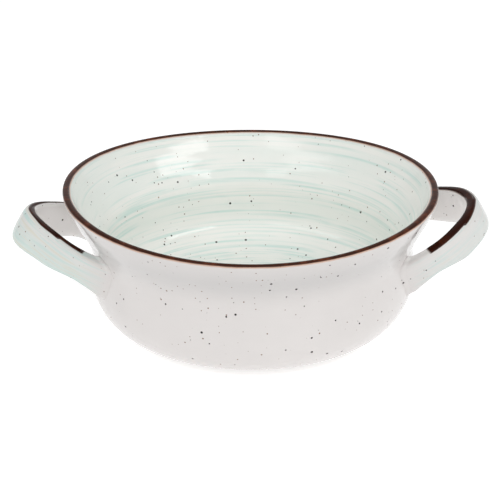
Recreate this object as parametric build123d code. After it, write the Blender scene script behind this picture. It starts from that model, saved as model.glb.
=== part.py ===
from build123d import *
from math import cos, radians
import os

os.makedirs("parts", exist_ok=True)

# Lug soup bowl in glazed stoneware. Millimetres, +Z up, foot on z = 0, handles along X.

# Bowl
RIM_DIAMETER = 150.0        # over the lip
BOWL_HEIGHT = 58.0          # table to the mean height of the lip
RIM_WAVE = 1.3              # the lip rises and falls by this much around the mean
RIM_WAVE_TURN = 1.0         # where the high points lie, from the handle line
COLLAR_LEAN = 17.0          # lean of the collar at the lip, from upright
NECK_DIAMETER = 129.4       # narrowest place, under the collar
NECK_HEIGHT = 35.5
BODY_DIAMETER = 130.6       # widest place of the body
BODY_HEIGHT = 24.0
UNDERSIDE_DIAMETER = 96.0   # where the body turns flat towards the foot
WALL = 4.4
LIP_WALL = 4.0
LIP_ROUND = 1.6
FLOOR_THICKNESS = 5.3
FLOOR_DIAMETER = 72.0       # flat floor inside

# Foot ring
FOOT_DIAMETER = 92.0
FOOT_WIDTH = 5.5
FOOT_HEIGHT = 2.2
FOOT_ROUND = 0.7

# Strap handles. Both were pulled by hand, and the left loop is a little narrower.
HANDLE_RISE = 23.5          # angle by which the loop climbs outwards
HANDLE_HEIGHT = 31.6        # middle line of the strap where it leaves the wall
FINGER_ROOM = 16.2          # lip to the middle of the strap at the tip
ROOT_SPREAD = 54.5          # between the middles of the two roots
LEG_SPREAD = 54.0           # between the middles of the two legs
LEG_REACH = 9.5
LEFT_CORNER_SPREAD = 29.6
LEFT_CORNER_BACK = 10.8     # tip back to the corners, along the climb
RIGHT_CORNER_SPREAD = 36.0
RIGHT_CORNER_BACK = 8.4
CREST_HEIGHT = 6.9          # middle line of the loop up to the upper edge of the strap
TIP_WIDTH = 13.8
LEG_WIDTH = 12.8
ROOT_WIDTH = 16.5
TIP_LENGTH = 12.0           # stretch at the tip that keeps its full width
LEG_START = 28.0            # tip to the place where the strap is as wide and as tucked as a leg
STRAP_THICKNESS = 5.5
ROOT_THICKNESS = 6.6
ROOT_FLARE = 13.0           # length over which a leg widens to its root
TIP_LEAN = 4.0              # lower edge of the strap turned outwards at the tip
LEG_TUCK = 18.0             # lower edge turned inwards along the legs
STRAP_ROUND = 1.7
STRAP_STEPS = 24            # sections along the strap
ROOT_SINK = 10.0            # strap running on behind the wall face before trimming

# Luting slip under the roots
SLIP_THICKNESS = 0.8
SLIP_SPREAD = 0.9

# Brown glaze lines
GLAZE = 0.3
GLAZE_SEAT = 0.06           # between the lip and the line that lies on it
RIM_LINE_DEPTH = 1.6        # down both sides of the lip
STRAP_LINE_DEPTH = 1.4      # down both faces of the strap
LINE_STEPS = 4              # strap sections left bare at each root

RIM_RADIUS = RIM_DIAMETER / 2
BODY_RADIUS = BODY_DIAMETER / 2
NECK_RADIUS = NECK_DIAMETER / 2
FOOT_RADIUS = FOOT_DIAMETER / 2
FLOOR_HEIGHT = FOOT_HEIGHT + FLOOR_THICKNESS
LIP_SPARE = 4 * RIM_WAVE + 4.0


def outer_line(grow=0.0):
    """Outer wall from the underside to a little above the lip, moved outwards by grow."""
    under = EllipticalCenterArc(
        (UNDERSIDE_DIAMETER / 2, BODY_HEIGHT),
        BODY_RADIUS + grow - UNDERSIDE_DIAMETER / 2,
        BODY_HEIGHT + grow - FOOT_HEIGHT,
        start_angle=270,
        arc_size=90,
    )
    lip = Vector(RIM_RADIUS + grow, BOWL_HEIGHT)
    lean = Vector(0, 1).rotate(Axis.Z, -COLLAR_LEAN)
    wall = Spline(
        (BODY_RADIUS + grow, BODY_HEIGHT),
        (NECK_RADIUS + grow, NECK_HEIGHT),
        lip,
        tangents=[(0, 1), lean],
    )
    return [under, wall, Line(lip, lip + lean * LIP_SPARE)]


def inner_line(grow=0.0):
    """Inner wall from the floor to a little above the lip, moved inwards by grow."""
    floor = EllipticalCenterArc(
        (FLOOR_DIAMETER / 2, BODY_HEIGHT),
        BODY_RADIUS - WALL - grow - FLOOR_DIAMETER / 2,
        BODY_HEIGHT - grow - FLOOR_HEIGHT,
        start_angle=270,
        arc_size=90,
    )
    lip = Vector(RIM_RADIUS - LIP_WALL - grow, BOWL_HEIGHT)
    lean = Vector(0, 1).rotate(Axis.Z, -COLLAR_LEAN)
    wall = Spline(
        (BODY_RADIUS - WALL - grow, BODY_HEIGHT),
        (NECK_RADIUS - WALL - grow, NECK_HEIGHT),
        lip,
        tangents=[(0, 1), lean],
    )
    return [floor, wall, Line(lip, lip + lean * LIP_SPARE)]


def turned(lines, *corners):
    """Solid of revolution of a wall line closed through the given corner points."""
    start = lines[0] @ 0
    close = Polyline(lines[-1] @ 1, *corners, start)
    return revolve(Plane.XZ * make_face([*lines, close]), Axis.Z)


def blank(grow=0.0):
    """The whole outer form of the body as one solid, without the foot ring."""
    lines = outer_line(grow)
    return turned(lines, (0, (lines[-1] @ 1).Y), (0, (lines[0] @ 0).Y))


def hollow(grow=0.0):
    """The space inside the bowl as one solid."""
    lines = inner_line(grow)
    return turned(lines, (0, (lines[-1] @ 1).Y), (0, (lines[0] @ 0).Y))


def above_lip(lift=0.0):
    """Block over the waving lip line. Its underside is one wide arc along X."""
    half = RIM_RADIUS + 15
    edge = BOWL_HEIGHT - RIM_WAVE + 2 * RIM_WAVE * (half / RIM_RADIUS) ** 2 + lift
    low = BOWL_HEIGHT - RIM_WAVE + lift
    top = BOWL_HEIGHT + LIP_SPARE + 20
    arc = ThreePointArc((-half, edge), (0, low), (half, edge))
    side = Polyline((half, edge), (half, top), (-half, top), (-half, edge))
    block = extrude(Plane.XZ * make_face([arc, side]), half, both=True)
    return Rot(0, 0, RIM_WAVE_TURN) * block


def lipped(grow=0.0):
    """Wall of the bowl cut along the lip line and rounded over there."""
    wall = blank(grow) - hollow(grow) - above_lip(grow)
    lip = wall.faces().sort_by(Axis.Z)[-1]
    return fillet(lip.edges(), LIP_ROUND + grow)


def bowl():
    """Body with its foot ring."""
    ring = Cylinder(FOOT_RADIUS, FOOT_HEIGHT + 1, align=(Align.CENTER, Align.CENTER, Align.MIN))
    ring -= Cylinder(FOOT_RADIUS - FOOT_WIDTH, 3 * FOOT_HEIGHT)
    ring = fillet(ring.edges().group_by(Axis.Z)[0], FOOT_ROUND)
    return lipped() + ring


def at_wall():
    """Distance of the two roots from the middle plane between the handles."""
    return (BODY_RADIUS**2 - (ROOT_SPREAD / 2) ** 2) ** 0.5


def loop_plane():
    """Plane of the handle loop on the +X side, climbing outwards."""
    start = (at_wall(), 0, HANDLE_HEIGHT)
    return Plane(start, x_dir=(1, 0, 0), z_dir=(0, 0, 1)).rotated((0, -HANDLE_RISE, 0))


def loop_path(corner_spread, corner_back):
    """Middle line of the strap from the front root round to the back root."""
    reach = (RIM_RADIUS + FINGER_ROOM - at_wall()) / cos(radians(HANDLE_RISE))
    half = [
        (-ROOT_SINK, -ROOT_SPREAD / 2 + ROOT_SINK * 0.1),
        (0, -ROOT_SPREAD / 2),
        (LEG_REACH, -LEG_SPREAD / 2),
        (reach - corner_back, -corner_spread / 2),
    ]
    points = half + [(reach, 0)] + [(u, -v) for u, v in reversed(half)]
    return loop_plane() * Spline(*points)


def ease(low, high, value):
    """0 below low, 1 above high, an even ease between."""
    share = min(1.0, max(0.0, (value - low) / (high - low)))
    return share * share * (3 - 2 * share)


def section(path, share, grow=0.0):
    """Place, width and thickness of the strap at a share of its length, moved outwards by grow."""
    from_tip = abs(share - 0.5) * path.length
    from_root = (0.5 - abs(share - 0.5)) * path.length - ROOT_SINK
    flare = min(1.0, max(0.0, 1 - from_root / ROOT_FLARE)) ** 2
    leg = ease(TIP_LENGTH / 2, LEG_START, from_tip)
    width = TIP_WIDTH + leg * (LEG_WIDTH - TIP_WIDTH) + flare * (ROOT_WIDTH - LEG_WIDTH)
    thick = STRAP_THICKNESS + flare * (ROOT_THICKNESS - STRAP_THICKNESS)
    lean = TIP_LEAN - (TIP_LEAN + LEG_TUCK) * ease(0, LEG_START, from_tip)
    up = loop_plane().z_dir.rotate(Axis((0, 0, 0), path % share), -lean)
    spot = Plane(path @ share, x_dir=up, z_dir=path % share)
    return spot * Pos(CREST_HEIGHT - width / 2, 0), width + 2 * grow, thick + 2 * grow


def strap(path, grow=0.0):
    """Strap as one loft of rounded sections square to the loop."""
    sections = []
    for step in range(STRAP_STEPS + 1):
        spot, width, thick = section(path, step / STRAP_STEPS, grow)
        sections.append(spot * RectangleRounded(width, thick, STRAP_ROUND + grow))
    return loft(sections)


def strap_cover(path):
    """Loft over the upper edge of the strap, a glaze skin larger than the strap."""
    sections = []
    for step in range(LINE_STEPS, STRAP_STEPS - LINE_STEPS + 1):
        spot, width, thick = section(path, step / STRAP_STEPS, GLAZE)
        whole = RectangleRounded(width, thick, STRAP_ROUND + GLAZE)
        keep = Pos(width - GLAZE - STRAP_LINE_DEPTH, 0) * Rectangle(width, 2 * thick)
        sections.append(spot * (whole & keep))
    return loft(sections)


def handle(corner_spread, corner_back):
    """Strap, slip and glaze line of one handle, on the +X side."""
    path = loop_path(corner_spread, corner_back)
    whole = strap(path)
    slip = (strap(path, SLIP_SPREAD) & blank(SLIP_THICKNESS)) - blank()
    return whole - blank(SLIP_THICKNESS), slip, strap_cover(path) - whole


body = bowl()
right_handle, right_slip, right_line = handle(RIGHT_CORNER_SPREAD, RIGHT_CORNER_BACK)
left_handle, left_slip, left_line = handle(LEFT_CORNER_SPREAD, LEFT_CORNER_BACK)

band = above_lip(-RIM_LINE_DEPTH)
rim_line = (lipped(GLAZE) & band) - lipped(GLAZE_SEAT)

export_step(body, "parts/bowl_body.step")
export_step(rim_line, "parts/rim_glaze_line.step")
export_step(right_handle, "parts/right_handle.step")
export_step(right_slip, "parts/right_handle_slip.step")
export_step(right_line, "parts/right_handle_glaze_line.step")
export_step(Rot(0, 0, 180) * left_handle, "parts/left_handle.step")
export_step(Rot(0, 0, 180) * left_slip, "parts/left_handle_slip.step")
export_step(Rot(0, 0, 180) * left_line, "parts/left_handle_glaze_line.step")
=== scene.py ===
import math

import bpy
from mathutils import Matrix, Vector


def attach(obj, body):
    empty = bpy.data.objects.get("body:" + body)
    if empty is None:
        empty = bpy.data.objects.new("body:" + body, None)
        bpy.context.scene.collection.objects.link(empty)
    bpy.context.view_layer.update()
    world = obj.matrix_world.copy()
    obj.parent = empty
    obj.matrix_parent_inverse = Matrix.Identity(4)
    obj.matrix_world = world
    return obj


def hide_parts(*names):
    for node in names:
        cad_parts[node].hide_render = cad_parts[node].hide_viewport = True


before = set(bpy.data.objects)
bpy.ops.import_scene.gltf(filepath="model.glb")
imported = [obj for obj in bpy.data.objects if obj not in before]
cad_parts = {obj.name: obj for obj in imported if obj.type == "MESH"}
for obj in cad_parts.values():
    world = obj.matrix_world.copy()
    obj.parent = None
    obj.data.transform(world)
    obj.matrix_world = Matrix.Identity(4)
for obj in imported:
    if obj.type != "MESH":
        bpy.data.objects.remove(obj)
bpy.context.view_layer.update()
bpy.ops.object.select_all(action="DESELECT")

# Stoneware soup bowl with two strap handles along X, seen from -Y. Sizes are in millimetres, fitted
# to the photograph and close to those of the solids.
MM = 0.001
MERGE_WITHIN = 0.02

# Lip
LIP_HEIGHT = 58.0                   # mean height
LIP_WAVE = 1.75                     # rise over the handles and fall between them
LIP_WAVE_TURN = math.radians(1)     # high places, from the handle line
LIP_OFF_CENTRE = -0.9               # shift along X
LIP_TILT = 0.6                      # higher on the left
LIP_BACK_TILT = 0.75                # higher at the back
LIP_OVAL = 0.3                      # wider along the handle line
LIP_LOBES = 0.28                    # three soft lobes left by the hands
LOBE_TURN = 0.7
WAVE_FOOT = 35.5                    # height at which the wave has died out

# Wall
FOOT_HEIGHT = 2.2
UNDERSIDE_RADIUS = 48.0             # where the belly turns flat towards the foot
BODY_RADIUS = 65.3                  # widest place of the belly
BODY_HEIGHT = 24.0
NECK_RADIUS = 64.63                 # narrowest place, under the collar
NECK_HEIGHT = 34.3
COLLAR_SWING = 5.0                  # swing of the wall out of the neck
COLLAR_SWING_TOP = 54.0
COLLAR_LEAN = 4.1                   # lean of the collar that grows up to the lip
COLLAR_LEAN_POWER = 1.4
MEAN_RADIUS = 65.0
RING_DEPTH = 0.03                   # faint throwing rings
RING_TURN = 1.25                    # radians of ring per millimetre of height
RING_DRIFT = 0.9                    # drift of the rings around the wall
RING_DRIFT_TURN = 0.4
RINGS_BEGIN = (3.0, 8.0)            # heights between which the rings come in
RINGS_END = (57.0, 50.0)            # and between which they go out
SECTION_STEPS = 14
TURN_STEPS = 200

# Strap handles
AT_WALL = 59.3                      # middle of the bowl to the middle of the roots, along X
HANDLE_HEIGHT = 31.4                # loop line where it leaves the wall
HANDLE_RISE = math.radians(23.5)    # climb of the loop
HANDLE_REACH = 34.8                 # roots to the tip, along the climb
ROOT_SINK = 10.0                    # strap running on behind the wall before it is trimmed
ROOT_ASIDE = 26.9                   # middle of the loop to a root
SUNK_ASIDE = 26.25                  # the same at the sunk end
LEG_KNOT = (9.0, 25.7)              # a place on a leg: way out and way aside
STRAP_LENGTH = 113.5
STRAP_STEPS = [0.75] * 30 + [1.6] * 48 + [0.75] * 30    # shares of the length, finer at the roots
STRAP_THICKNESS = 5.5
ROOT_THICKNESS = 6.6
ROOT_WIDTH = 16.0
ROOT_FLARE = 13.0                   # length over which a leg widens to its root
SQUARE_THROUGH = 0.6                # powers that square up the round section
SQUARE_ACROSS = 0.5
TIP_LEAN = math.radians(4.5)        # lower edge turned outwards at the tip
CORNER_TUCK = math.radians(11.5)    # lower edge turned inwards at the corners
LEG_TUCK = math.radians(20)         # and along the legs
TIP_EVEN = 4.0                      # half of the stretch at the tip that keeps its width
CORNER_FROM_TIP = 18.0
LEG_FROM_TIP = 36.0
DENT = 0.16                         # shallow dents left by the fingers
DENT_ALONG = 0.21                   # radians of dent per millimetre
DENT_ACROSS = 0.33
BEND_STEPS = 24
ROOT_DEPTH = 1.8                    # trimmed ends lie this far under the face of the wall

# Each strap was pulled by hand: where its corners lie, its width at the tip, the corners and the
# legs, the height of its upper edge over the loop line, and the roll of the whole loop.
RIGHT_STRAP = ((25.4, 16.4), (13.8, 15.4, 12.8), 7.5, math.radians(3.5))
LEFT_STRAP = ((24.6, 15.3), (14.8, 14.9, 13.4), 7.1, math.radians(2.0))

# Slip at the roots
SLIP_ROUND = 2.0                    # radius of the soft fillet
SLIP_EDGE = 0.4
SLIP_SINK = 0.04                    # hidden in the strap where the fillet has run out
SLIP_REACH = 5.5                    # from the wall up the strap
SLIP_DEPTH = 1.2                    # and down under the face of the wall
SLIP_BODY = 0.5

# Brown lines: how far they stand out, and how they thin out towards their borders
LINE_PROUD = 0.14
LINE_FALL = 0.22
LINE_BORDER = 0.6
LINE_BODY = 0.3

# Brown line on the lip, measured along the wall from the top of the lip
LINE_INSIDE = 1.4
LINE_OUTSIDE = 1.25
LINE_THICKER = 0.45                 # more on the outside, next to the handles
THICKER_POWER = 4                   # how closely that keeps to the handles

# Brown line on a strap, measured from the middle of its upper edge: reach towards the outer face in
# front, before and after the step where the brush was lifted, its end, and the reach at the back.
LINE_STEP = {"right": 19.0, "left": 25.0}
LINE_WIDE = {"right": 2.9, "left": 1.7}
LINE_NARROW = {"right": 2.2, "left": 0.8}
LINE_END = {"right": 36.5, "left": 35.5}
LINE_INNER_FRONT = {"right": 2.3, "left": 1.7}
LINE_INNER_BACK = {"right": 1.7, "left": 0.8}
LINE_OUTER_BACK = 1.3
STRAP_TOP = 53.5                    # the straps lie below this height
LIP_LINE_FOOT = 54.1                # and the line on the lip above this one


def smooth(low, high, value):
    """0 up to low, 1 from high on, an even ease between."""
    share = min(1.0, max(0.0, (value - low) / (high - low)))
    return share * share * (3 - 2 * share)


def only(piece):
    """Makes one object the selected and active one."""
    bpy.ops.object.select_all(action="DESELECT")
    piece.select_set(True)
    bpy.context.view_layer.objects.active = piece


def pick(piece, wanted):
    """Selects in edit mode the vertices for which wanted says yes, and the faces they make."""
    only(piece)
    bpy.ops.object.mode_set(mode="EDIT")
    bpy.ops.mesh.select_mode(type="VERT")
    bpy.ops.mesh.select_all(action="DESELECT")
    bpy.ops.object.mode_set(mode="OBJECT")
    for vertex in piece.data.vertices:
        vertex.select = wanted(vertex)
    bpy.ops.object.mode_set(mode="EDIT")


def copy_without(piece, name, unwanted):
    """A copy with its own mesh, from which the unwanted vertices are deleted."""
    only(piece)
    bpy.ops.object.duplicate()
    twin = bpy.context.object
    twin.name = name
    twin.data.name = name
    pick(twin, lambda vertex: unwanted(twin, vertex))
    bpy.ops.mesh.delete(type="VERT")
    bpy.ops.object.mode_set(mode="OBJECT")
    return twin


def thicken(piece, thickness):
    """Gives an open skin a body on its inner side."""
    only(piece)
    shell = piece.modifiers.new("body", "SOLIDIFY")
    shell.thickness = thickness * MM
    shell.offset = -1
    bpy.ops.object.modifier_apply(modifier="body")
    bpy.ops.object.shade_smooth()


def close_up(piece):
    """Merges doubles, turns every face outwards and smooths the shading."""
    only(piece)
    bpy.ops.object.mode_set(mode="EDIT")
    bpy.ops.mesh.select_all(action="SELECT")
    bpy.ops.mesh.remove_doubles(threshold=MERGE_WITHIN * MM)
    bpy.ops.mesh.normals_make_consistent(inside=False)
    bpy.ops.object.mode_set(mode="OBJECT")
    bpy.ops.object.shade_smooth()


def value(piece, name, vertex):
    """A vertex's value in one of the piece's own attributes."""
    return piece.data.attributes[name].data[vertex.index].value


# Bowl: its half section is drawn as one curve, from the middle of the underside round the foot,
# up the belly, neck and collar, over the lip and down the inside to the middle of the floor.
# Each knot is a radius and a height with the reach of its two handles.
SECTION = [
    ((0, FOOT_HEIGHT), (-5, 0), (10, 0)),
    ((39.4, FOOT_HEIGHT), (-8, 0), (0.7, 0)),
    ((40.6, 1.1), (0, 0.6), (0, -0.5)),
    ((42.0, 0), (-0.7, 0), (0.8, 0)),
    ((44.6, 0), (-0.8, 0), (0.7, 0)),
    ((46.0, 0.9), (0, -0.5), (0, 0.6)),
    ((48.4, 2.3), (-1.4, 0), (8.9, 0.35)),
    ((BODY_RADIUS, BODY_HEIGHT), (0, -11.7), (0, 4)),
    ((NECK_RADIUS, NECK_HEIGHT), (0, -3.2), (0, 3.2)),
    ((69.2, 46), (-2.2, -3.7), (2.6, 4.4)),
    ((74.35, 56.4), (-0.85, -2.8), (0.34, 1.1)),
    ((73.0, LIP_HEIGHT), (0.95, 0), (-0.95, 0)),
    ((70.75, 56.8), (0.45, 0.85), (-0.75, -1.8)),
    ((65.05, 46), (2.7, 4.5), (-2.3, -3.9)),
    ((60.23, 34.2), (0, 3.2), (0, -3.2)),
    ((60.9, BODY_HEIGHT), (0, 4), (0, -9.1)),
    ((36, 7.5), (13.7, 0), (-12, 0)),
    ((0, 7.3), (12, 0), (-5, 0)),
]


def make_bowl():
    """The bowl, spun from its half section and then moved as the hands left it."""
    bpy.ops.curve.primitive_bezier_curve_add()
    line = bpy.context.object.data.splines[0]
    line.bezier_points.add(len(SECTION) - len(line.bezier_points))
    line.resolution_u = SECTION_STEPS
    for knot, (spot, before, after) in zip(line.bezier_points, SECTION):
        knot.handle_left_type = "FREE"
        knot.handle_right_type = "FREE"
        knot.co = Vector((spot[0], 0, spot[1])) * MM
        knot.handle_left = Vector((spot[0] + before[0], 0, spot[1] + before[1])) * MM
        knot.handle_right = Vector((spot[0] + after[0], 0, spot[1] + after[1])) * MM
    bpy.ops.object.convert(target="MESH")
    bowl = bpy.context.object
    bowl.name = "stoneware_bowl"

    # Way along the section from the top of the lip, in millimetres: outside counts up, inside down
    way = [0.0]
    points = [vertex.co.copy() for vertex in bowl.data.vertices]
    for one, two in zip(points, points[1:]):
        way.append(way[-1] + (two - one).length / MM)
    top = max(range(len(points)), key=lambda i: points[i].z)
    run = bowl.data.attributes.new("run", "FLOAT", "POINT")
    for i in range(len(points)):
        run.data[i].value = way[top] - way[i]

    only(bowl)
    bpy.ops.object.mode_set(mode="EDIT")
    bpy.ops.mesh.select_all(action="SELECT")
    bpy.ops.mesh.spin(steps=TURN_STEPS, angle=math.tau, center=(0, 0, 0), axis=(0, 0, 1))
    bpy.ops.object.mode_set(mode="OBJECT")
    close_up(bowl)
    for vertex in bowl.data.vertices:
        vertex.co = hand_thrown(vertex.co)
    return bowl


def hand_thrown(spot):
    """Waves the lip, sets it a little off centre and leaves faint throwing rings in the wall."""
    x, y, z = spot
    height = z / MM
    angle = math.atan2(y, x)
    up = smooth(WAVE_FOOT, LIP_HEIGHT, height)
    rings = smooth(*RINGS_BEGIN, height) * smooth(*RINGS_END, height)
    drift = RING_DRIFT * math.sin(angle + RING_DRIFT_TURN)
    ripple = RING_DEPTH * math.sin(height * RING_TURN + drift) * rings
    lobes = LIP_LOBES * math.cos(3 * angle + LOBE_TURN) + LIP_OVAL * math.cos(2 * angle)
    bulge = 1 + (ripple + up * lobes) / MEAN_RADIUS
    tilt = LIP_BACK_TILT * math.sin(angle) - LIP_TILT * math.cos(angle)
    rise = up * (LIP_WAVE * math.cos(2 * (angle - LIP_WAVE_TURN)) + tilt)
    return Vector((x * bulge + LIP_OFF_CENTRE * up * MM, y * bulge, z + rise * MM))


def wall_radius(height):
    """Outer radius of the wall near the handle roots, in millimetres."""
    if height < BODY_HEIGHT:
        drop = (BODY_HEIGHT - height) / (BODY_HEIGHT - FOOT_HEIGHT)
        belly = math.sqrt(max(0.0, 1 - drop ** 2))
        return UNDERSIDE_RADIUS + (BODY_RADIUS - UNDERSIDE_RADIUS) * belly
    radius = BODY_RADIUS - (BODY_RADIUS - NECK_RADIUS) * smooth(BODY_HEIGHT, NECK_HEIGHT, height)
    if height > NECK_HEIGHT:
        share = (height - NECK_HEIGHT) / (LIP_HEIGHT - NECK_HEIGHT)
        radius += COLLAR_SWING * smooth(NECK_HEIGHT, COLLAR_SWING_TOP, height)
        radius += COLLAR_LEAN * share ** COLLAR_LEAN_POWER
    return radius


def from_wall(spot):
    """Distance of a point outside the wall, in millimetres."""
    return math.hypot(spot.x, spot.y) / MM - wall_radius(spot.z / MM)


# Strap handle: a rounded section pulled out straight, thickened towards its ends, then bent round
# the loop line. The loop line lies flat for the bend and is tipped up afterwards. Each handle is
# made on the +X side.
def pull_strap(name):
    """Straight strap along X: its section reaches from -1 to 1 through and across."""
    bpy.ops.mesh.primitive_circle_add(vertices=64, radius=1, fill_type="NGON")
    strap = bpy.context.object
    strap.name = name
    strap.data.name = name
    for vertex in strap.data.vertices:
        side = vertex.co.x
        up = vertex.co.y
        vertex.co.x = 0
        vertex.co.y = math.copysign(abs(side) ** SQUARE_THROUGH, side)
        vertex.co.z = math.copysign(abs(up) ** SQUARE_ACROSS, up)
    only(strap)
    bpy.ops.object.mode_set(mode="EDIT")
    bpy.ops.mesh.select_all(action="SELECT")
    scale = STRAP_LENGTH / sum(STRAP_STEPS)
    for step in STRAP_STEPS:
        bpy.ops.mesh.extrude_region_move(TRANSFORM_OT_translate={"value": (step * scale, 0, 0)})
    bpy.ops.object.mode_set(mode="OBJECT")
    return strap


def shape_strap(strap, widths, crest):
    """Gives the strap its widths, thickness and twist, and notes each vertex's place on it:
    along from the tip, across from the upper edge, and through towards the inner face."""
    tip_width, corner_width, leg_width = widths
    along = strap.data.attributes.new("along", "FLOAT", "POINT")
    across = strap.data.attributes.new("across", "FLOAT", "POINT")
    through = strap.data.attributes.new("through", "FLOAT", "POINT")
    for i, vertex in enumerate(strap.data.vertices):
        x, y, z = vertex.co
        from_tip = abs(x - STRAP_LENGTH / 2)
        from_root = STRAP_LENGTH / 2 - from_tip - ROOT_SINK
        flare = min(1.0, max(0.0, 1 - from_root / ROOT_FLARE)) ** 2
        at_corner = smooth(TIP_EVEN, CORNER_FROM_TIP, from_tip)
        at_leg = smooth(CORNER_FROM_TIP, LEG_FROM_TIP, from_tip)
        width = tip_width + at_corner * (corner_width - tip_width)
        width += at_leg * (leg_width - corner_width) + flare * (ROOT_WIDTH - leg_width)
        thick = STRAP_THICKNESS + flare * (ROOT_THICKNESS - STRAP_THICKNESS)
        z = (z - 1) * width / 2
        along.data[i].value = x - STRAP_LENGTH / 2
        across.data[i].value = z
        through.data[i].value = y * thick / 2
        dent = DENT * math.sin(x * DENT_ALONG) * math.cos(z * DENT_ACROSS)
        lean = TIP_LEAN - at_corner * (TIP_LEAN + CORNER_TUCK) - at_leg * (LEG_TUCK - CORNER_TUCK)
        y = y * (thick / 2 + dent)
        z += crest
        turned_y = y * math.cos(lean) + z * math.sin(lean)
        turned_z = z * math.cos(lean) - y * math.sin(lean)
        vertex.co = Vector((x, turned_y, turned_z)) * MM


def loop_line(corner):
    """Knots of the loop from the front root round to the back root: way out and way aside."""
    half = [
        (-ROOT_SINK, -SUNK_ASIDE),
        (0, -ROOT_ASIDE),
        (LEG_KNOT[0], -LEG_KNOT[1]),
        (corner[0], -corner[1]),
    ]
    return half + [(HANDLE_REACH, 0)] + [(out, -aside) for out, aside in reversed(half)]


def bend_strap(strap, corner, roll):
    """Bends the strap round its loop line and sets it against the wall."""
    bpy.ops.curve.primitive_bezier_curve_add()
    former = bpy.context.object
    line = former.data.splines[0]
    knots = loop_line(corner)
    line.bezier_points.add(len(knots) - len(line.bezier_points))
    line.resolution_u = BEND_STEPS
    for knot, (out, aside) in zip(line.bezier_points, knots):
        knot.co = Vector((out, aside, 0)) * MM
        knot.handle_left_type = "AUTO"
        knot.handle_right_type = "AUTO"
    former.data.use_stretch = True
    former.data.use_deform_bounds = True
    only(strap)
    bend = strap.modifiers.new("bend", "CURVE")
    bend.object = former
    bend.deform_axis = "POS_X"
    bpy.ops.object.modifier_apply(modifier="bend")
    bpy.data.objects.remove(former)
    strap.rotation_euler = (roll, -HANDLE_RISE, 0)
    strap.location = (AT_WALL * MM, 0, HANDLE_HEIGHT * MM)
    bpy.ops.object.transform_apply(location=True, rotation=True, scale=True)


def make_strap(name, pulled):
    """One handle, with both ends trimmed just under the face of the wall."""
    corner, widths, crest, roll = pulled
    strap = pull_strap(name)
    shape_strap(strap, widths, crest)
    bend_strap(strap, corner, roll)
    pick(strap, lambda vertex: from_wall(vertex.co) < -ROOT_DEPTH)
    bpy.ops.mesh.delete(type="VERT")
    bpy.ops.mesh.select_all(action="SELECT")
    bpy.ops.mesh.fill_holes(sides=0)
    bpy.ops.object.mode_set(mode="OBJECT")
    close_up(strap)
    return strap


def fan_ends(strap):
    """Turns both end caps into fans, so that no edge of a cap lies on an edge of the strap."""
    only(strap)
    bpy.ops.object.mode_set(mode="EDIT")
    bpy.ops.mesh.select_mode(type="FACE")
    bpy.ops.mesh.select_all(action="DESELECT")
    bpy.ops.mesh.select_face_by_sides(number=4, type="GREATER")
    bpy.ops.mesh.poke()
    bpy.ops.object.mode_set(mode="OBJECT")


def off_root(piece, vertex):
    """Whether a point of a strap lies too far up it or too deep in the wall to carry slip."""
    gone = from_wall(vertex.co)
    return gone > SLIP_REACH or gone < -SLIP_DEPTH


def make_slip(strap, name):
    """Soft fillets of slip where the strap runs into the wall."""
    slip = copy_without(strap, name, off_root)
    normals = [vertex.normal.copy() for vertex in slip.data.vertices]
    for vertex, normal in zip(slip.data.vertices, normals):
        gone = from_wall(vertex.co)
        inward = SLIP_ROUND - min(SLIP_ROUND, max(SLIP_EDGE, gone))
        swell = SLIP_ROUND - math.sqrt(SLIP_ROUND ** 2 - inward ** 2) - SLIP_SINK
        spot = vertex.co + normal * swell * MM
        if gone < SLIP_ROUND:
            angle = math.atan2(spot.y, spot.x)
            radius = (wall_radius(spot.z / MM) + gone) * MM
            spot = Vector((radius * math.cos(angle), radius * math.sin(angle), spot.z))
        vertex.co = spot
    thicken(slip, SLIP_BODY)
    return slip


def make_line(piece, name, off_line):
    """A thin skin of brown glaze on a piece, thinning out towards its borders. off_line gives a
    point's distance beyond those borders, below 0 within them."""
    skin = copy_without(piece, name, lambda twin, vertex: off_line(twin, vertex) >= 0)
    lifts = []
    for vertex in skin.data.vertices:
        proud = LINE_PROUD - LINE_FALL * smooth(-LINE_BORDER, 0, off_line(skin, vertex))
        lifts.append(vertex.normal * proud * MM)
    for vertex, lift in zip(skin.data.vertices, lifts):
        vertex.co = vertex.co + lift
    thicken(skin, LINE_BODY)
    return skin


def off_lip_line(piece, vertex):
    """Distance of a point of the bowl beyond the borders of the brown line on the lip."""
    run = value(piece, "run", vertex)
    x, y, _ = vertex.co
    sideways = (x / math.hypot(x, y, MM)) ** THICKER_POWER
    return max(run - LINE_OUTSIDE - LINE_THICKER * sideways, -run - LINE_INSIDE)


def off_strap_line(piece, vertex):
    """Distance of a point of a strap beyond the borders of its brown line. The straps still lie on
    the +X side here, so the left one has its front where the right one has its back."""
    side = piece.name.split("_")[0]
    along = value(piece, "along", vertex)
    through = value(piece, "through", vertex)
    if (along < 0) == (side == "right"):
        outer = LINE_WIDE[side] if abs(along) < LINE_STEP[side] else LINE_NARROW[side]
        inner = LINE_INNER_FRONT[side]
    else:
        outer = LINE_OUTER_BACK
        inner = LINE_INNER_BACK[side]
    over = -value(piece, "across", vertex) - through - outer
    return max(over, through - inner, abs(along) - LINE_END[side])


# Finishes. What the bowl and the straps share:
WHITE_GLAZE = ("#D5D1CF", "#DEDAD8")
CLOUD = 22.0                        # soft clouds in the white, in millimetres
DIMPLE = 7.0                        # orange peel of the fired surface: width and depth
DIMPLE_DEPTH = 0.6
GLAZE_IOR = 1.5
GLAZE_ROUGHNESS = 0.09

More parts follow.
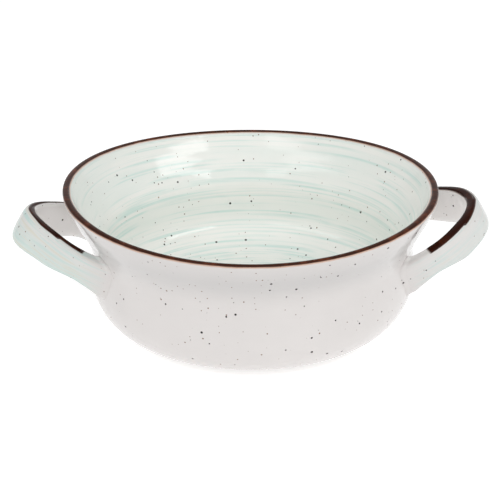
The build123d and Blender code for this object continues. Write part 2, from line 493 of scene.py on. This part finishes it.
# Iron speckle of two grains: millimetres between specks, the share of places without one, the
# largest radius as a share of the grain, and the colour. The specks are about 0.3 to 1 mm across.
SPECKLE = ((2.2, 0.4, 0.17, "#7A5A48"), (3.2, 0.45, 0.18, "#1F1815"))
SPECK_CORE = 0.8                    # share of a speck's radius that has its full colour
LEAST_SPECK = 0.02

# Turquoise bands in the bowl, long around the wall: a thin wash about 8 mm wide, brush lines about
# 1 mm wide, and the breaks in those lines. Each has its cells per millimetre down the wall and per
# radius around it, the noise's detail and roughness, and the noise that gives least and most paint.
BANDS = {
    "wash": (0.12, 0.9, 2.0, 0.5, (0.4, 0.7), (0.0, 0.16)),
    "line": (0.8, 0.8, 3.0, 0.55, (0.42, 0.7), (0.0, 0.62)),
    "whole": (0.2, 2.4, 2.0, 0.5, (0.32, 0.58), (0.2, 1.0)),
}
INSIDE_FROM = (-1.0, -3.0)          # way down from the lip over which the inside's colour, partly painted light, comes in
COLLAR_SHADE_COMES = (-2.0, 11.0)           # way down the outside from the lip over which the painted shade comes in
COLLAR_SHADE_GOES = (28.0, 13.0)            # and fades out again, under the neck
COLLAR_SHADE_SHARE = 0.75
BARE_FOOT = (0.9, 0.5)              # height over which the glaze gives way to wiped clay
CLAY_ROUGHNESS = 0.75

# Strokes on the straps: cells per millimetre along, across and through
STRAP_BANDS = (0.022, 0.26, 0.16)
STRAP_HAIRS = (0.045, 0.9, 0.5)
BAND_NOISE = (0.4, 0.62)
BAND_PAINT = (0.35, 0.85)
HAIR_NOISE = (0.46, 0.62)
STREAK_NOISE = (0.44, 0.32)         # places between the hairs that stay warm and bare
STREAK_SHARE = 0.6
PAINT_ENDS = (48.0, 36.0)           # way from the tip over which the paint starts
OUTER_FACE = (2.0, -0.5)            # way through the strap over which the outer face starts
WASH_DOWN = (-3.0, -12.0)           # way down the outer face over which the wash grows
WASH_SHARE = (0.15, 0.5)
RIGHT_WETNESS = 0.45                # the right strap got less turquoise than the left

# Brown that bleeds out beside a line: how far its border wanders, over what width, and its two
# coats, an amber fringe and the brown itself, each with its reach, its strength and its colour
LIP_BLEED = (0.5, 9.0, (((1.05, 0.25), 0.8, "#BD8050"), ((0.4, 0.15), 1.0, "#402014")))
STRAP_BLEED = (0.6, 8.0, (((0.65, 0.35), 0.6, "#8A5E42"), ((0.44, 0.2), 1.0, "#2E1509")))
BLEED_END = (0.7, -0.3)             # where it stops at the ends of a strap's line
STEP_HALF = 0.5                     # half of the length of the step in a strap's line
FRONT_FROM = (3.0, -3.0)            # way to the front over which a strap's back turns to its front

# Brown edge glaze
MOTTLE = 5.0                        # size of its thicker and thinner places
MOTTLE_DEPTH = 0.4
MOTTLE_NOISE = (0.45, 0.75)
BROWN_ROUGHNESS = 0.2
BROWN_SHINE = 0.045


def srgb(text):
    """Linear colour of a hex value as it is seen."""
    parts = [int(text[i:i + 2], 16) / 255 for i in (1, 3, 5)]
    return [p / 12.92 if p <= 0.04045 else ((p + 0.055) / 1.055) ** 2.4 for p in parts] + [1.0]


def add(tree, kind, inputs=None, **settings):
    """Adds one node, with its settings, its fixed values and its links."""
    node = tree.nodes.new("ShaderNode" + kind)
    for key, setting in settings.items():
        setattr(node, key, setting)
    for key, given in (inputs or {}).items():
        if isinstance(given, bpy.types.NodeSocket):
            tree.links.new(given, node.inputs[key])
        else:
            node.inputs[key].default_value = given
    return node


def new_finish(name):
    """An empty material and its node tree."""
    finish = bpy.data.materials.new(name)
    finish.use_nodes = True
    tree = finish.node_tree
    tree.nodes.clear()
    return finish, tree


def clouded_white(tree, place):
    """The white glaze with its soft clouds."""
    clouds = add(tree, "TexNoise", {"Vector": place, "Scale": 1 / (CLOUD * MM), "Detail": 2.0})
    white = add(tree, "Mix", {
        0: clouds.outputs[0], 6: srgb(WHITE_GLAZE[0]), 7: srgb(WHITE_GLAZE[1])}, data_type="RGBA")
    return white.outputs[2]


def speckled(tree, place, under):
    """Iron speckle over a colour."""
    colour = under
    for grain, least, widest, dark in SPECKLE:
        cells = add(tree, "TexVoronoi", {"Vector": place, "Scale": 1 / (grain * MM)})
        chance = add(tree, "SeparateColor", {"Color": cells.outputs["Color"]})
        size = add(tree, "MapRange", {
            "Value": chance.outputs["Red"], "From Min": least, "To Min": 0.0, "To Max": widest})
        core = add(tree, "Math", {
            0: size.outputs["Result"], 1: SPECK_CORE}, operation="MULTIPLY")
        speck = add(tree, "MapRange", {
            "Value": cells.outputs["Distance"], "From Min": size.outputs["Result"],
            "From Max": core.outputs[0]}, interpolation_type="SMOOTHSTEP")
        real = add(tree, "Math", {
            0: size.outputs["Result"], 1: LEAST_SPECK}, operation="GREATER_THAN")
        shown = add(tree, "Math", {
            0: speck.outputs["Result"], 1: real.outputs[0]}, operation="MULTIPLY")
        mixed = add(tree, "Mix", {
            0: shown.outputs[0], 6: colour, 7: srgb(dark)}, data_type="RGBA")
        colour = mixed.outputs[2]
    return colour


def browned(tree, place, under, off, bleed, ends=1.0):
    """Brown bleeding out over a colour, where off gives the distance beyond the line's borders."""
    by, width, coats = bleed
    wander = add(tree, "TexNoise", {"Vector": place, "Scale": 1 / (width * MM), "Detail": 3.0})
    edge = add(tree, "Math", {0: wander.outputs[0], 1: by, 2: off}, operation="MULTIPLY_ADD")
    colour = under
    for reach, strength, brown in coats:
        coat = add(tree, "MapRange", {
            "Value": edge.outputs[0], "From Min": reach[0], "From Max": reach[1],
            "To Max": strength}, interpolation_type="SMOOTHSTEP")
        laid = add(tree, "Math", {0: coat.outputs[0], 1: ends}, operation="MULTIPLY")
        mixed = add(tree, "Mix", {
            0: laid.outputs[0], 6: colour, 7: srgb(brown)}, data_type="RGBA")
        colour = mixed.outputs[2]
    return colour


def fire(tree, place, colour, roughness, dimpled):
    """The glossy fired surface with its dimples, as the finish's output."""
    dimples = add(tree, "TexNoise", {"Vector": place, "Scale": 1 / (DIMPLE * MM), "Detail": 2.0})
    lumps = add(tree, "Bump", {
        "Strength": dimpled, "Distance": DIMPLE_DEPTH * MM, "Height": dimples.outputs[0]})
    shader = add(tree, "BsdfPrincipled", {
        "Base Color": colour, "Roughness": roughness, "IOR": GLAZE_IOR,
        "Normal": lumps.outputs[0]})
    add(tree, "OutputMaterial", {"Surface": shader.outputs[0]})


def bowl_glaze():
    # Tin-white stoneware glaze, fired glossy: milky white outside, greyed on the collar by painted
    # shade, brushed bands of thin turquoise inside over a lighter white that is partly painted
    # light, iron specks, and a brown edge that breaks to amber where it runs thin.
    finish, tree = new_finish("stoneware_glaze_banded_turquoise")
    place = add(tree, "TexCoord").outputs["Object"]
    run = add(tree, "Attribute", attribute_name="run").outputs["Fac"]
    flat = add(tree, "VectorMath", {0: place, 1: (1, 1, 0)}, operation="MULTIPLY")
    around = add(tree, "VectorMath", {0: flat.outputs[0]}, operation="NORMALIZE")
    down = add(tree, "CombineXYZ", {"Z": run})

    paint = {}
    for band, (per_mm, per_radius, detail, roughness, noise, amount) in BANDS.items():
        scaled = add(tree, "VectorMath", {
            0: down.outputs[0], 1: (0, 0, per_mm)}, operation="MULTIPLY")
        at = add(tree, "VectorMath", {
            0: around.outputs[0], 1: (per_radius, per_radius, 0),
            2: scaled.outputs[0]}, operation="MULTIPLY_ADD")
        cells = add(tree, "TexNoise", {
            "Vector": at.outputs[0], "Scale": 1.0, "Detail": detail, "Roughness": roughness})
        ranged = add(tree, "MapRange", {
            "Value": cells.outputs[0], "From Min": noise[0], "From Max": noise[1],
            "To Min": amount[0], "To Max": amount[1]}, interpolation_type="SMOOTHSTEP")
        paint[band] = ranged.outputs[0]
    laid = add(tree, "Math", {0: paint["line"], 1: paint["whole"]}, operation="MULTIPLY")
    brushed = add(tree, "Math", {0: paint["wash"], 1: laid.outputs[0]}, operation="MAXIMUM")
    inside = add(tree, "MapRange", {
        "Value": run, "From Min": INSIDE_FROM[0], "From Max": INSIDE_FROM[1]})
    stroke = add(tree, "Math", {
        0: brushed.outputs[0], 1: inside.outputs[0]}, operation="MULTIPLY")

    # Painted shade: the white outside is greyed from the lip down over the downward-facing collar,
    # fading out under the neck
    comes = add(tree, "MapRange", {
        "Value": run, "From Min": COLLAR_SHADE_COMES[0], "From Max": COLLAR_SHADE_COMES[1], "To Max": COLLAR_SHADE_SHARE})
    goes = add(tree, "MapRange", {
        "Value": run, "From Min": COLLAR_SHADE_GOES[0],
        "From Max": COLLAR_SHADE_GOES[1]}, interpolation_type="SMOOTHSTEP")
    painted_collar_shade = add(tree, "Math", {0: comes.outputs[0], 1: goes.outputs[0]}, operation="MULTIPLY")
    white = add(tree, "Mix", {
        0: painted_collar_shade.outputs[0], 6: clouded_white(tree, place), 7: srgb("#C2C0BF")}, data_type="RGBA")
    # The inside is painted a lighter, slightly greener white: the green tint is the glaze's own,
    # the extra lightness is painted light that lifts the shade inside the bowl
    white_with_painted_light_inside = add(tree, "Mix", {
        0: inside.outputs[0], 6: white.outputs[2], 7: srgb("#F4F4EF")}, data_type="RGBA")
    painted = add(tree, "Mix", {
        0: stroke.outputs[0], 6: white_with_painted_light_inside.outputs[2], 7: srgb("#B8DCD5")}, data_type="RGBA")
    dotted = speckled(tree, place, painted.outputs[2])

    # Brown beside the line on the lip
    sides = add(tree, "SeparateXYZ", {"Vector": around.outputs[0]})
    sideways = add(tree, "Math", {
        0: sides.outputs["X"], 1: THICKER_POWER}, operation="POWER")
    reach = add(tree, "Math", {
        0: sideways.outputs[0], 1: LINE_THICKER, 2: LINE_OUTSIDE}, operation="MULTIPLY_ADD")
    over = add(tree, "Math", {0: run, 1: reach.outputs[0]}, operation="SUBTRACT")
    under = add(tree, "Math", {0: run, 1: -1.0, 2: -LINE_INSIDE}, operation="MULTIPLY_ADD")
    off = add(tree, "Math", {0: over.outputs[0], 1: under.outputs[0]}, operation="MAXIMUM")
    edged = browned(tree, place, dotted, off.outputs[0], LIP_BLEED)

    # Bare fired clay where the foot ring was wiped to stand on the kiln shelf
    height = add(tree, "SeparateXYZ", {"Vector": place})
    bare = add(tree, "MapRange", {
        "Value": height.outputs["Z"], "From Min": BARE_FOOT[0] * MM,
        "From Max": BARE_FOOT[1] * MM}, interpolation_type="SMOOTHSTEP")
    clay = add(tree, "Mix", {
        0: bare.outputs[0], 6: edged, 7: srgb("#CDBBA2")}, data_type="RGBA")
    dull = add(tree, "MapRange", {
        "Value": bare.outputs[0], "To Min": GLAZE_ROUGHNESS, "To Max": CLAY_ROUGHNESS})
    fire(tree, place, clay.outputs[2], dull.outputs[0], dimpled=0.12)
    return finish


def strap_glaze():
    # The same white glaze on the pulled straps, with turquoise brushed along their outer faces,
    # warm streaks where the brush left the glaze bare, and a purer white on their inner faces that
    # is painted light.
    finish, tree = new_finish("stoneware_glaze_brushed_strap")
    place = add(tree, "TexCoord").outputs["Object"]
    along = add(tree, "Attribute", attribute_name="along").outputs["Fac"]
    across = add(tree, "Attribute", attribute_name="across").outputs["Fac"]
    through = add(tree, "Attribute", attribute_name="through").outputs["Fac"]
    strip = add(tree, "CombineXYZ", {"X": along, "Y": across, "Z": through})
    bands = add(tree, "VectorMath", {0: strip.outputs[0], 1: STRAP_BANDS}, operation="MULTIPLY")
    broad = add(tree, "TexNoise", {"Vector": bands.outputs[0], "Scale": 1.0, "Detail": 2.0})
    band = add(tree, "MapRange", {
        "Value": broad.outputs[0], "From Min": BAND_NOISE[0], "From Max": BAND_NOISE[1],
        "To Min": BAND_PAINT[0], "To Max": BAND_PAINT[1]}, interpolation_type="SMOOTHSTEP")
    hairs = add(tree, "VectorMath", {0: strip.outputs[0], 1: STRAP_HAIRS}, operation="MULTIPLY")
    fine = add(tree, "TexNoise", {"Vector": hairs.outputs[0], "Scale": 1.0, "Detail": 3.0})
    hair = add(tree, "MapRange", {
        "Value": fine.outputs[0], "From Min": HAIR_NOISE[0],
        "From Max": HAIR_NOISE[1]}, interpolation_type="SMOOTHSTEP")
    stroke = add(tree, "Math", {0: band.outputs[0], 1: hair.outputs[0]}, operation="MULTIPLY")

    # Paint on the outer face, fading out before the roots
    length = add(tree, "Math", {0: along}, operation="ABSOLUTE")
    middle = add(tree, "MapRange", {
        "Value": length.outputs[0], "From Min": PAINT_ENDS[0], "From Max": PAINT_ENDS[1]})
    outer = add(tree, "MapRange", {
        "Value": through, "From Min": OUTER_FACE[0], "From Max": OUTER_FACE[1]})
    which = add(tree, "SeparateXYZ", {"Vector": place})
    right = add(tree, "Math", {0: which.outputs["X"], 1: 0.0}, operation="GREATER_THAN")
    wetness = add(tree, "MapRange", {
        "Value": right.outputs[0], "To Min": 1.0, "To Max": RIGHT_WETNESS})
    reached = add(tree, "Math", {0: middle.outputs[0], 1: outer.outputs[0]}, operation="MULTIPLY")
    brushed = add(tree, "Math", {
        0: reached.outputs[0], 1: wetness.outputs[0]}, operation="MULTIPLY")
    laid = add(tree, "Math", {0: stroke.outputs[0], 1: brushed.outputs[0]}, operation="MULTIPLY")
    lower = add(tree, "MapRange", {
        "Value": across, "From Min": WASH_DOWN[0], "From Max": WASH_DOWN[1],
        "To Min": WASH_SHARE[0], "To Max": WASH_SHARE[1]})
    washed = add(tree, "Math", {
        0: brushed.outputs[0], 1: lower.outputs[0]}, operation="MULTIPLY")
    bare = add(tree, "MapRange", {
        "Value": fine.outputs[0], "From Min": STREAK_NOISE[0], "From Max": STREAK_NOISE[1],
        "To Max": STREAK_SHARE}, interpolation_type="SMOOTHSTEP")
    streak = add(tree, "Math", {0: bare.outputs[0], 1: brushed.outputs[0]}, operation="MULTIPLY")

    # The inner faces are painted a purer white than the outer faces: painted light that lifts the
    # shade inside the loops
    white_with_painted_light_inner = add(tree, "Mix", {
        0: outer.outputs[0], 6: srgb("#FBF9F7"), 7: clouded_white(tree, place)}, data_type="RGBA")
    mint = add(tree, "Mix", {
        0: washed.outputs[0], 6: white_with_painted_light_inner.outputs[2], 7: srgb("#C4DED6")}, data_type="RGBA")
    warm = add(tree, "Mix", {
        0: streak.outputs[0], 6: mint.outputs[2], 7: srgb("#D3CFBE")}, data_type="RGBA")
    painted = add(tree, "Mix", {
        0: laid.outputs[0], 6: warm.outputs[2], 7: srgb("#B2D3CE")}, data_type="RGBA")
    dotted = speckled(tree, place, painted.outputs[2])

    # Brown beside the line on the upper edge, stopping short of both roots
    front = add(tree, "MapRange", {
        "Value": which.outputs["Y"], "From Min": FRONT_FROM[0] * MM,
        "From Max": FRONT_FROM[1] * MM})
    end = add(tree, "Mix", {0: right.outputs[0], 2: LINE_END["left"], 3: LINE_END["right"]})
    past = add(tree, "Math", {0: length.outputs[0], 1: end.outputs[0]}, operation="SUBTRACT")
    ends = add(tree, "MapRange", {
        "Value": past.outputs[0], "From Min": BLEED_END[0],
        "From Max": BLEED_END[1]}, interpolation_type="SMOOTHSTEP")
    stepped = {}
    for side in ("left", "right"):
        lifted = add(tree, "MapRange", {
            "Value": length.outputs[0],
            "From Min": LINE_STEP[side] - STEP_HALF, "From Max": LINE_STEP[side] + STEP_HALF,
            "To Min": LINE_WIDE[side], "To Max": LINE_NARROW[side]})
        stepped[side] = lifted.outputs[0]
    front_reach = add(tree, "Mix", {0: right.outputs[0], 2: stepped["left"], 3: stepped["right"]})
    reach = add(tree, "Mix", {
        0: front.outputs[0], 2: LINE_OUTER_BACK, 3: front_reach.outputs[0]})
    round_edge = add(tree, "Math", {0: across, 1: through}, operation="ADD")
    covered = add(tree, "Math", {0: round_edge.outputs[0], 1: reach.outputs[0]}, operation="ADD")
    over = add(tree, "Math", {0: covered.outputs[0], 1: -1.0}, operation="MULTIPLY")
    front_inner = add(tree, "Mix", {
        0: right.outputs[0], 2: LINE_INNER_FRONT["left"], 3: LINE_INNER_FRONT["right"]})
    back_inner = add(tree, "Mix", {
        0: right.outputs[0], 2: LINE_INNER_BACK["left"], 3: LINE_INNER_BACK["right"]})
    inner = add(tree, "Mix", {
        0: front.outputs[0], 2: back_inner.outputs[0], 3: front_inner.outputs[0]})
    under = add(tree, "Math", {0: through, 1: inner.outputs[0]}, operation="SUBTRACT")
    off = add(tree, "Math", {0: over.outputs[0], 1: under.outputs[0]}, operation="MAXIMUM")
    edged = browned(tree, place, dotted, off.outputs[0], STRAP_BLEED, ends.outputs[0])
    fire(tree, place, edged, GLAZE_ROUGHNESS, dimpled=0.15)
    return finish


def brown_glaze():
    # Iron-brown edge glaze, thick and nearly black with a dull shine, warmer where it thins. It
    # lies thicker, and so darker, on the straps, which all lie below the lip.
    finish, tree = new_finish("iron_brown_edge_glaze")
    place = add(tree, "TexCoord").outputs["Object"]
    mottle = add(tree, "TexNoise", {
        "Vector": place, "Scale": 1 / (MOTTLE * MM), "Detail": 4.0, "Roughness": 0.6})
    thin = add(tree, "MapRange", {
        "Value": mottle.outputs[0], "From Min": MOTTLE_NOISE[0],
        "From Max": MOTTLE_NOISE[1]}, interpolation_type="SMOOTHSTEP")
    height = add(tree, "SeparateXYZ", {"Vector": place})
    on_lip = add(tree, "MapRange", {
        "Value": height.outputs["Z"], "From Min": STRAP_TOP * MM, "From Max": LIP_LINE_FOOT * MM})
    strap_brown = add(tree, "Mix", {
        0: thin.outputs[0], 6: srgb("#2C0E04"), 7: srgb("#4A200F")}, data_type="RGBA")
    lip_brown = add(tree, "Mix", {
        0: thin.outputs[0], 6: srgb("#39190B"), 7: srgb("#66311A")}, data_type="RGBA")
    brown = add(tree, "Mix", {
        0: on_lip.outputs[0], 6: strap_brown.outputs[2],
        7: lip_brown.outputs[2]}, data_type="RGBA")
    lumps = add(tree, "Bump", {
        "Strength": 0.2, "Distance": MOTTLE_DEPTH * MM, "Height": mottle.outputs[0]})
    shader = add(tree, "BsdfPrincipled", {
        "Base Color": brown.outputs[2], "Roughness": BROWN_ROUGHNESS,
        "Specular IOR Level": BROWN_SHINE, "Normal": lumps.outputs[0]})
    add(tree, "OutputMaterial", {"Surface": shader.outputs[0]})
    return finish


def dress(piece, finish, slot_name, *nodes):
    """Gives a piece its finish, its body and the node it stands for. slot_name is not used."""
    piece.data.materials.clear()
    piece.data.materials.append(finish)
    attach(piece, "root")
    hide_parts(*nodes)


bowl_finish = bowl_glaze()
strap_finish = strap_glaze()
brown_finish = brown_glaze()

bowl = make_bowl()
lip_line = make_line(bowl, "brown_lip_line", off_lip_line)
dress(bowl, bowl_finish, "bowl_glaze", "bowl_body")
dress(lip_line, brown_finish, "brown_edge_glaze", "rim_glaze_line")

for side, pulled, turn in (("right", RIGHT_STRAP, 0), ("left", LEFT_STRAP, math.pi)):
    strap = make_strap(side + "_strap_handle", pulled)
    slip = make_slip(strap, side + "_handle_roots")
    line = make_line(strap, side + "_handle_brown_line", off_strap_line)
    fan_ends(strap)
    for made in (strap, slip, line):
        only(made)
        made.rotation_euler = (0, 0, turn)
        bpy.ops.object.transform_apply(location=True, rotation=True, scale=True)
    dress(strap, strap_finish, "handle_glaze", side + "_handle")
    dress(slip, strap_finish, "slip_glaze", side + "_handle_slip")
    dress(line, brown_finish, "brown_edge_glaze", side + "_handle_glaze_line")


# Stage: a white paper sweep that keeps the shadow and throws a little light up under the belly and
# into the loops, and white all round for the camera and for reflections. Metres and watts.
FLOOR_SIZE = 6.0
SWEEP_LIGHT = 0.25                  # glow of the paper on the bowl
SWEEP_SHOWN = 0.5                   # glow of the paper to the camera and in reflections
ROOM_LIGHT = 0.43
ROOM_SHOWN = 1.0
AIM = Vector((0, 0, 0.03))          # what the lamps and the camera point at

# Each lamp: azimuth from the viewer's side towards +X, elevation, distance, width, height, watts,
# and whether the glaze mirrors it
LAMPS = {
    "left_softbox": (-52, 38, 0.9, 1.0, 0.14, 0.75, True),
    "right_softbox": (55, 38, 0.9, 0.6, 0.14, 0.95, True),
    "high_softbox": (4, 62, 1.0, 1.0, 1.0, 1.5, True),
    "front_fill": (-10, 30, 1.1, 0.8, 0.5, 2.0, False),
    "left_fill": (-75, 25, 1.0, 1.0, 1.0, 1.2, False),
    "right_fill": (75, 25, 1.0, 1.0, 1.0, 1.6, False),
}

# Camera fitted to the photograph: its focal length and its middle are in pixels of that picture
EYE_AZIMUTH = -3.0
EYE_ELEVATION = 22.9
EYE_DISTANCE = 0.75
EYE_ROLL = math.radians(-0.3)
PICTURE_SIZE = 500
FOCAL = 1851.0
PICTURE_MIDDLE = (252.5, 252.3)
SENSOR = 36


def seen_from(azimuth, elevation):
    """Direction from the bowl to a place round it, given in degrees."""
    a = math.radians(azimuth)
    e = math.radians(elevation)
    return Vector((math.sin(a) * math.cos(e), -math.cos(a) * math.cos(e), math.sin(e)))


def make_floor():
    """The paper sweep."""
    bpy.ops.mesh.primitive_plane_add(size=FLOOR_SIZE)
    floor = bpy.context.object
    floor.name = "floor"
    finish, tree = new_finish("white_paper_sweep")
    ray = add(tree, "LightPath")
    paper = add(tree, "BsdfDiffuse", {"Color": srgb("#F4F4F4")})
    shown = add(tree, "Math", {
        0: ray.outputs["Is Camera Ray"], 1: ray.outputs["Is Glossy Ray"]}, operation="MAXIMUM")
    power = add(tree, "MapRange", {
        "Value": shown.outputs[0], "To Min": SWEEP_LIGHT, "To Max": SWEEP_SHOWN})
    glow = add(tree, "Emission", {"Color": (1, 1, 1, 1), "Strength": power.outputs[0]})
    bright = add(tree, "AddShader", {0: paper.outputs[0], 1: glow.outputs[0]})
    add(tree, "OutputMaterial", {"Surface": bright.outputs[0]})
    floor.data.materials.append(finish)


def make_world():
    """Even light from all round, shown as white."""
    world = bpy.data.worlds.new("studio")
    bpy.context.scene.world = world
    world.use_nodes = True
    tree = world.node_tree
    tree.nodes.clear()
    ray = add(tree, "LightPath")
    dim = add(tree, "Background", {"Color": (1, 1, 1, 1), "Strength": ROOM_LIGHT})
    white = add(tree, "Background", {"Color": (1, 1, 1, 1), "Strength": ROOM_SHOWN})
    shine = add(tree, "Math", {
        0: ray.outputs["Is Glossy Ray"],
        1: ray.outputs["Is Transmission Ray"]}, operation="MAXIMUM")
    shown = add(tree, "Math", {
        0: ray.outputs["Is Camera Ray"], 1: shine.outputs[0]}, operation="MAXIMUM")
    either = add(tree, "MixShader", {
        0: shown.outputs[0], 1: dim.outputs[0], 2: white.outputs[0]})
    add(tree, "OutputWorld", {"Surface": either.outputs[0]})


def make_lamp(name, azimuth, elevation, distance, width, height, watts, mirrored):
    """A rectangular soft light turned to the bowl."""
    spot = AIM + distance * seen_from(azimuth, elevation)
    bpy.ops.object.light_add(type="AREA", location=spot)
    lamp = bpy.context.object
    lamp.name = name
    lamp.data.shape = "RECTANGLE"
    lamp.data.size = width
    lamp.data.size_y = height
    lamp.data.energy = watts
    lamp.visible_glossy = mirrored
    lamp.rotation_euler = (AIM - spot).to_track_quat("-Z", "Y").to_euler()


def make_camera():
    """The eye, with the slight roll of the photograph."""
    back = seen_from(EYE_AZIMUTH, EYE_ELEVATION)
    spot = AIM + EYE_DISTANCE * back
    bpy.ops.object.camera_add(location=spot)
    camera = bpy.context.object
    turn = (-back).to_track_quat("-Z", "Y").to_matrix().to_4x4()
    camera.matrix_world = Matrix.Translation(spot) @ turn @ Matrix.Rotation(EYE_ROLL, 4, "Z")
    camera.data.sensor_width = SENSOR
    camera.data.lens = FOCAL / PICTURE_SIZE * SENSOR
    camera.data.shift_x = -(PICTURE_MIDDLE[0] - PICTURE_SIZE / 2) / PICTURE_SIZE
    camera.data.shift_y = (PICTURE_MIDDLE[1] - PICTURE_SIZE / 2) / PICTURE_SIZE
    bpy.context.scene.camera = camera


make_floor()
make_world()
for name, settings in LAMPS.items():
    make_lamp(name, *settings)
make_camera()
bpy.context.scene.view_settings.view_transform = "Standard"
